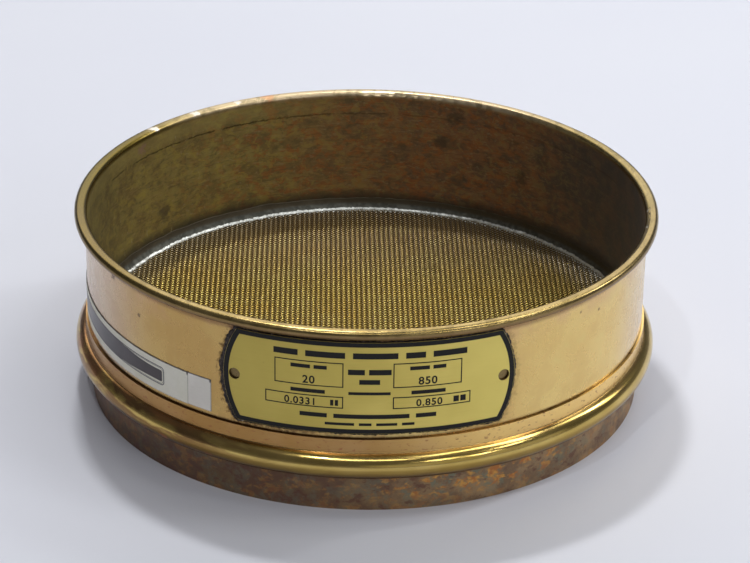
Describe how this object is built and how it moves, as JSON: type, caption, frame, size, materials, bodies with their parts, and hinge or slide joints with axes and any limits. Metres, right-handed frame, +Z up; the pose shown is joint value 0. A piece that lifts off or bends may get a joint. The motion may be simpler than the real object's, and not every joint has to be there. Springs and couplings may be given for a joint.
{
  "type": "test sieve",
  "caption": "Round brass test sieve: shell with a rolled rim, fine woven wire cloth soldered in, and a beaded skirt that nests in the next sieve.",
  "frame": {"origin": "centre of the skirt's lower edge, on the surface the sieve stands on", "axes": "+Z up along the sieve's axis; the nameplate faces -Y"},
  "size_m": [0.214, 0.214, 0.0706],
  "materials": {
    "shell_brass": "lacquered outside, brown patina inside",
    "ring_brass": "polished bead, brown tarnished skirt",
    "cloth_wire": "bright drawn wire",
    "solder": "dull tinned",
    "plate_brass": "satin lacquer",
    "plate_solder": "dull, dirty",
    "old_paper": "matte paper",
    "paper": "laminated paper",
    "plate_enamel": "black enamel print"
  },
  "bodies": {
    "root": {"upper_shell": "shell_brass", "lower_ring": "ring_brass", "wire_cloth": "cloth_wire", "solder_joint": "solder", "nameplate": "plate_brass", "nameplate_solder": "plate_solder", "label_understrip": "old_paper", "label_strip": "paper"}
  },
  "joints": []
}
